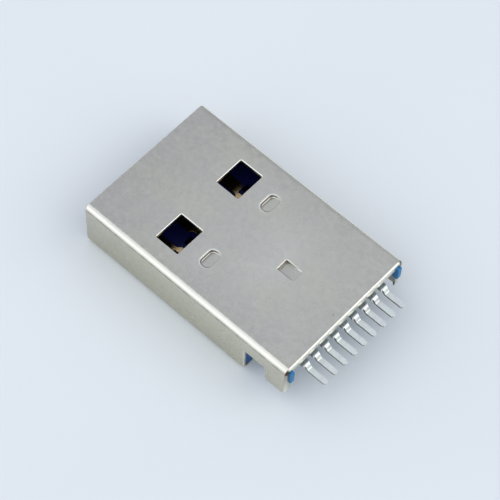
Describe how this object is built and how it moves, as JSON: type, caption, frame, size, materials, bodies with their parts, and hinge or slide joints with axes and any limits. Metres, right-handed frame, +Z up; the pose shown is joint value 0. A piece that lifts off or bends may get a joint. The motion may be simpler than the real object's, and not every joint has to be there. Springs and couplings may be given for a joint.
{
  "type": "usb 3.0 standard-a plug",
  "caption": "Board-edge data plug: folded metal shell with square catch holes, blue plastic tongue, flat and spring contacts, solder legs and gull-wing tails.",
  "frame": {"origin": "middle of the overall box in plan, on the underside of the shell", "axes": "+Y from the mouth to the tails, +Z up from the seamed side to the plain side, X across; the power contact is on the +X side"},
  "size_m": [0.012, 0.0208, 0.0045],
  "materials": {
    "shell_sheet": "satin bright nickel plate with a fine mottled grain, brighter along the bends and cut edges",
    "moulding": "deep blue moulded plastic, semi-gloss",
    "contact_strip": "copper-alloy strip: gold on the mating ends, satin tin on the tails"
  },
  "bodies": {
    "root": {"shell": "shell_sheet", "insulator_body": "moulding", "contact_carrier": "moulding", "power_contact": "contact_strip", "data_minus_contact": "contact_strip", "data_plus_contact": "contact_strip", "ground_contact": "contact_strip", "receive_minus_contact": "contact_strip", "receive_plus_contact": "contact_strip", "drain_contact": "contact_strip", "send_minus_contact": "contact_strip", "send_plus_contact": "contact_strip"}
  },
  "joints": []
}
